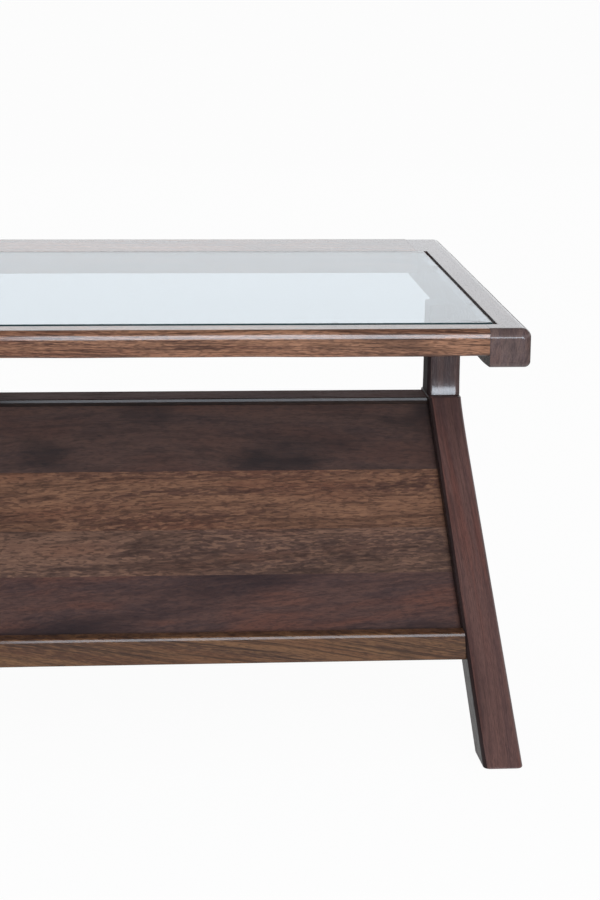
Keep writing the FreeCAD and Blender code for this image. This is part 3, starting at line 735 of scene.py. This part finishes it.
def stave(number, face, offset):
    """One stave of a panel: the first closes under the ridge's lip, the last ends behind the ledge.

    A stave reaches to where the next one begins, so that no glue line shows.
    """
    first = stave_start(number)
    last = stave_start(min(number + 1, STAVE_COUNT))
    low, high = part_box(f"front_stave_{number}")
    upper = [rake_point(first, PANEL_RECESS), rake_point(first, PANEL_BACK)]
    lower = [rake_point(last, PANEL_BACK), rake_point(last, PANEL_RECESS)]
    if number == 1:
        keel = -KEEL_WIDTH / 2 - GLUE_LINE
        upper = [(rake_y(high.z, PANEL_RECESS), high.z), (keel, high.z), (keel, rake_z(keel, PANEL_BACK))]
    if number == STAVE_COUNT:
        lower = [(rake_y(low.z, PANEL_BACK), low.z), (low.y, low.z), (low.y, rake_z(low.y, PANEL_RECESS))]
    section = [(y * -face, z, SHARP_EDGE) for y, z in upper + lower]
    node = f"{'front' if face < 0 else 'back'}_stave_{number}"
    grain = (rake_grain(face), offset)
    between_legs(node, section, STAVE_WOODS[number - 1], grain, number)


def glass_pane():
    """The pane: a rounded rectangle carried up its thickness, drawn in at the ground arrises."""
    levels = np.array((GLASS_LOW.z, GLASS_LOW.z + GLASS_ARRIS, GLASS_HIGH.z - GLASS_ARRIS, GLASS_HIGH.z))
    inset = np.array((GLASS_ARRIS, 0, 0, GLASS_ARRIS))
    x = GLASS_HIGH.x - inset
    corners = box_corners(-x, x, GLASS_LOW.y + inset, GLASS_HIGH.y - inset)
    outline = outlines(corners, np.full((len(levels), 4), GLASS_CORNER_ROUND))
    grain = (GRAIN_X, (0, 0, 0))
    faces = (GLASS, faces_level)
    piece("glass_pane", rings_along(2, levels, outline), GLASS_EDGE, grain, "glass", second=faces)


def finish_node(node, material):
    """Gives a CAD node, kept as it is, one material all over."""
    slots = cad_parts[node].data.materials
    slots.clear()
    slots.append(material)


def dress():
    """Every piece of the table, each with its own place in the figure of the wood."""
    front_low, front_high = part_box("front_rail")
    back_low, back_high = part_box("back_rail")
    long_rail("front_rail", front_low.y, front_high.y, 1, (0.3, 0.1, 0.2))
    long_rail("back_rail", back_high.y, back_low.y, 5, (2.3, 0.4, 0.6))
    for name, side in (("right", 1), ("left", -1)):
        end_rail(f"end_rail_{name}", side, 2 + side, (3.1 + side, 0.7, 0.2))
        post(f"post_{name}", side, (1.7 + side, 0.3, 0.9))
        for row, face in (("front", 1), ("back", -1)):
            leg(f"leg_{row}_{name}", side, face, (5.3 + side, 0.8 + face, 0.4))
    ridge_rail((4.2, 0.5, 0.3))
    ledge("front_ledge", 1, (6.1, 0.2, 0.5))
    ledge("back_ledge", -1, (7.4, 0.6, 0.1))
    for number in range(1, STAVE_COUNT + 1):
        stave(number, -1, (number * 1.3, 0.0, 0.3))
        stave(number, 1, (number * 1.3 + 9, 0.0, 0.7))
    glass_pane()
    for name in ("right", "left"):
        finish_node(f"cleat_front_{name}", FRONT_CLEAT_WOOD)
        finish_node(f"cleat_back_{name}", BACK_CLEAT_WOOD)
    for node in ("rail_dowels", "post_dowels", "leg_dowels", "ridge_dowels", "ledge_dowels"):
        finish_node(node, DOWEL_WOOD)
    finish_node("cleat_screws", zinc_steel())
    finish_node("glass_pads", soft_plastic())


# World and floor
WHITE = (1, 1, 1, 1)
SKY_TINT = (0.95, 0.97, 1.0, 1)
WORLD_LEVEL = 0.45
HORIZON_LEVEL = 0.9
CEILING_LEVEL = 0.10
HORIZON_TOP = 0.18
CEILING_BOTTOM = 0.62
FLOOR_SIZE = 80.0
FLOOR_TONE = (0.8, 0.8, 0.8, 1)
FLOOR_GLOW = 0.96
NEAR_GLOW = 0.65
FAR_GLOW = 0.12
NEAR_REACH = 0.8
FAR_REACH = 1.5

# Camera, with its turn to the right, tilt down and roll in degrees
CAMERA_PLACE = (-0.0035, -2.9988, 1.0065)
CAMERA_ANGLES = (6.172, 9.322, 0.934)
CAMERA_REACH = 200.0
SENSOR_WIDTH = 36.0
LENS_LENGTH = 107.45
LENS_SHIFT = (0.02, -0.22)


def sight(start):
    """Whether a ray comes straight from the eye, also through glass, and whether it has met a gloss."""
    path = start.node("ShaderNodeLightPath")
    glint = path.out("Glossy Depth").at_most(1.0)
    unbroken = 1 - (path.out("Diffuse Depth") + glint).at_most(1.0)
    seen = path.out("Is Camera Ray") + path.out("Is Transmission Ray") * unbroken
    return seen.at_most(1.0), glint


def studio_world():
    """White to the eye and through glass; in reflections pale at the horizon and dim overhead."""
    world = bpy.data.worlds.new("studio")
    bpy.context.scene.world = world
    world.use_nodes = True
    world.node_tree.nodes.clear()
    start = Wire(world.node_tree)
    seen, glint = sight(start)
    ahead = start.node("ShaderNodeTexCoord", output="Generated")
    height = start.node("ShaderNodeSeparateXYZ", None, {0: ahead}).out("Z")
    fall = height.between(HORIZON_TOP, CEILING_BOTTOM) * (CEILING_LEVEL - HORIZON_LEVEL)
    plain = WORLD_LEVEL + glint * (HORIZON_LEVEL + fall - WORLD_LEVEL)
    inputs = {"Color": glint.blend(WHITE, SKY_TINT), "Strength": plain + seen * (1 - plain)}
    light = start.node("ShaderNodeBackground", None, inputs)
    start.node("ShaderNodeOutputWorld", None, {"Surface": light})


def studio_floor():
    """A pale floor, white to the eye where nothing shades it, and dimmer in reflections far from the table."""
    mesh = bpy.data.meshes.new("floor")
    half = FLOOR_SIZE / 2
    corners = [(-half, -half, 0), (half, -half, 0), (half, half, 0), (-half, half, 0)]
    mesh.from_pydata(corners, [], [(0, 1, 2, 3)])
    floor = bpy.data.objects.new("floor", mesh)
    bpy.context.scene.collection.objects.link(floor)
    material, start = new_material("pale_floor")
    seen, glint = sight(start)
    place = start.node("ShaderNodeTexCoord", output="Object")
    reach = start.node("ShaderNodeVectorMath", {"operation": "LENGTH"}, {0: place}, output="Value")
    mirrored = NEAR_GLOW + reach.between(NEAR_REACH, FAR_REACH) * (FAR_GLOW - NEAR_GLOW)
    share = (seen * FLOOR_GLOW).at_least(glint)
    paper = start.node("ShaderNodeBsdfDiffuse", None, {"Color": FLOOR_TONE})
    strength = seen.at_least(glint * mirrored)
    glow = start.node("ShaderNodeEmission", None, {"Color": WHITE, "Strength": strength})
    surface = start.node("ShaderNodeMixShader", None, {0: share, 1: paper, 2: glow})
    start.node("ShaderNodeOutputMaterial", None, {"Surface": surface})
    mesh.materials.append(material)


def softbox(name, place, target, size, radiance, colour, mirrored):
    """A rectangular lamp whose power follows from its radiance, seen in gloss only where it is mirrored."""
    lamp = bpy.data.lights.new(name, "AREA")
    lamp.shape = "RECTANGLE"
    lamp.size, lamp.size_y = size
    lamp.energy = radiance * math.pi * size[0] * size[1]
    lamp.color = colour
    made = bpy.data.objects.new(name, lamp)
    made.location = place
    made.rotation_euler = (Vector(target) - Vector(place)).to_track_quat("-Z", "Y").to_euler()
    made.visible_camera = False
    made.visible_glossy = mirrored
    made.visible_transmission = mirrored
    bpy.context.scene.collection.objects.link(made)


def studio_camera():
    """The photograph's viewpoint: placed in front, turned right, tilted down and rolled a little."""
    lens = bpy.data.cameras.new("camera")
    lens.sensor_width = SENSOR_WIDTH
    lens.lens = LENS_LENGTH
    lens.shift_x, lens.shift_y = LENS_SHIFT
    lens.clip_end = CAMERA_REACH
    yaw, pitch, roll = (math.radians(angle) for angle in CAMERA_ANGLES)
    ahead = Vector((math.sin(yaw) * math.cos(pitch), math.cos(yaw) * math.cos(pitch), -math.sin(pitch)))
    level = Vector((math.cos(yaw), -math.sin(yaw), 0))
    upright = level.cross(ahead)
    right = level * math.cos(roll) + upright * math.sin(roll)
    up = upright * math.cos(roll) - level * math.sin(roll)
    camera = bpy.data.objects.new("camera", lens)
    turn = Matrix((right, up, -ahead)).transposed().to_4x4()
    camera.matrix_world = Matrix.Translation(CAMERA_PLACE) @ turn
    bpy.context.scene.collection.objects.link(camera)
    bpy.context.scene.camera = camera


dress()
studio_world()
studio_floor()
softbox("front_softbox", (0.95, -3.6, 1.7), (0.3, -0.1, 0.4), (1.9, 2.2), 5.5, (0.90, 0.95, 1.0), False)
softbox("low_softbox", (0.95, -3.6, 0.57), (0.3, -0.1, 0.4), (1.9, 0.54), 9.5, (0.80, 0.89, 1.0), True)
softbox("top_softbox", (0.0, 1.0, 3.2), (0.0, 0.0, 0.4), (3.0, 1.2), 0.8, (0.90, 0.95, 1.0), False)
softbox("back_softbox", (0.0, 4.5, 1.3), (0.0, 0.0, 0.5), (9.0, 1.7), 0.4, (0.95, 0.97, 1.0), True)
studio_camera()
bpy.context.scene.view_settings.view_transform = "Standard"
